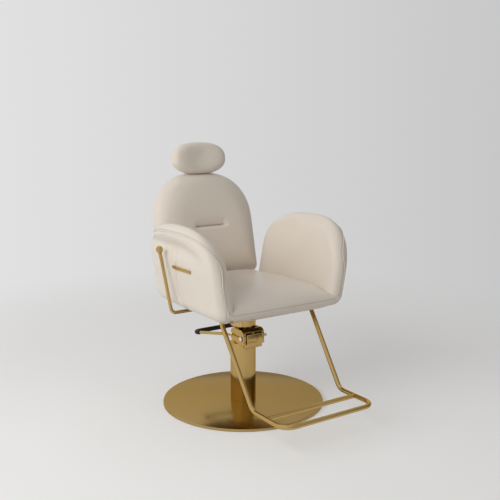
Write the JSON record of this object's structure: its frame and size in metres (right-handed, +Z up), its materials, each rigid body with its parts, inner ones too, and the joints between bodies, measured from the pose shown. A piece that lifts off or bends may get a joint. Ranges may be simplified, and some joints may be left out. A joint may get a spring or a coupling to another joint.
{
  "type": "hairdressing chair",
  "caption": "Hydraulic salon chair: round gold base and pump column, padded bucket seat with flared arms, reclining back, sliding headrest, foot lever and tube footrest.",
  "frame": {"origin": "on the floor, on the axis of the column", "axes": "+Z up along the column; -Y is the way the sitter faces; +X is on the sitter's left"},
  "size_m": [0.6374, 0.8789, 0.9524],
  "materials": {
    "gold_steel": "satin",
    "chrome": "polished",
    "cream_leather": "satin",
    "plywood": "matte",
    "black_rubber": "matte",
    "black_steel": "satin",
    "plain_steel": "satin",
    "cast_iron": "matte"
  },
  "bodies": {
    "base": {"base_plate": "cast_iron", "base_cover": "gold_steel", "column_sleeve": "gold_steel", "pump_cylinder": "plain_steel", "pump_head": "gold_steel", "ram_seal": "black_rubber", "pivot_bolt": "chrome", "pivot_nut": "chrome"},
    "plunger": {"pump_plunger": "plain_steel"},
    "pedal": {"pump_lever": "gold_steel", "pedal_sleeve": "black_rubber"},
    "ram": {"ram": "chrome", "ram_piston": "plain_steel", "thrust_bearing": "plain_steel", "hub_retaining_bolt": "plain_steel"},
    "seat": {"swivel_hub": "gold_steel", "swivel_plate": "black_steel", "plate_bolt_1": "plain_steel", "plate_bolt_2": "plain_steel", "plate_bolt_3": "plain_steel", "plate_bolt_4": "plain_steel", "left_rail": "black_steel", "right_rail": "black_steel", "spring_cross_member": "black_steel", "seat_base": "plywood", "seat_cushion": "cream_leather", "left_arm": "cream_leather", "right_arm": "cream_leather", "left_arm_panel": "plywood", "right_arm_panel": "plywood", "left_arm_bar": "gold_steel", "right_arm_bar": "gold_steel", "footrest_frame": "gold_steel", "footrest_crossbar": "gold_steel", "left_footrest_flange": "gold_steel", "right_footrest_flange": "gold_steel", "lever_bracket": "black_steel", "left_hinge_bracket": "black_steel", "right_hinge_bracket": "black_steel", "left_hinge_pin": "plain_steel", "right_hinge_pin": "plain_steel", "gas_spring_cylinder": "black_steel"},
    "gas_rod": {"gas_spring_rod": "chrome", "gas_spring_clevis": "plain_steel"},
    "back": {"back_frame": "black_steel", "backrest_cushion": "cream_leather", "back_board": "plywood", "back_panel": "cream_leather", "headrest_guide": "black_steel", "back_bolt_1": "plain_steel", "back_bolt_2": "plain_steel", "back_bolt_3": "plain_steel", "back_bolt_4": "plain_steel"},
    "headrest_post": {"headrest_stem": "black_steel"},
    "headrest": {"headrest_pillow": "cream_leather", "headrest_pivot_pin": "plain_steel"},
    "recline_lever": {"recline_lever": "gold_steel", "lever_knob": "gold_steel"}
  },
  "joints": [
    {"name": "lift", "type": "slide", "parent": "base", "child": "ram", "axis": [0, 0, 1], "range_m": [0, 0.15]},
    {"name": "swivel", "type": "hinge", "parent": "ram", "child": "seat", "pos_m": [0, 0, 0.339], "axis": [0, 0, 1], "continuous": true},
    {"name": "pump_pedal", "type": "hinge", "parent": "base", "child": "pedal", "pos_m": [0, -0.055, 0.258], "axis": [-1, 0, 0], "range_deg": [0, 10], "stiffness_Nm_per_rad": 10, "springref_deg": -14.32},
    {"name": "plunger", "type": "slide", "parent": "base", "child": "plunger", "axis": [0, 0, 1], "range_m": [0, 0.0015]},
    {"name": "recline", "type": "hinge", "parent": "seat", "child": "back", "pos_m": [0, 0.235, 0.4001], "axis": [-1, 0, 0], "range_deg": [0, 35]},
    {"name": "gas_rod", "type": "slide", "parent": "seat", "child": "gas_rod", "axis": [0, -1, 0], "range_m": [0, 0.0275]},
    {"name": "recline_lever", "type": "hinge", "parent": "seat", "child": "recline_lever", "pos_m": [0, 0.0233, 0.3739], "axis": [-1, 0, 0], "range_deg": [0, 15], "stiffness_Nm_per_rad": 4, "springref_deg": -11.46},
    {"name": "headrest_height", "type": "slide", "parent": "back", "child": "headrest_post", "axis": [0, 0.213, 0.977], "range_m": [0, 0.09]},
    {"name": "headrest_tilt", "type": "hinge", "parent": "headrest_post", "child": "headrest", "pos_m": [0, 0.31639, 0.89308], "axis": [-1, 0, 0], "range_deg": [0, 25]}
  ],
  "couplings": [
    {"joint": "gas_rod", "follows": "recline", "m_per_rad": 0.0443},
    {"joint": "plunger", "follows": "pump_pedal", "m_per_rad": 0.008}
  ]
}
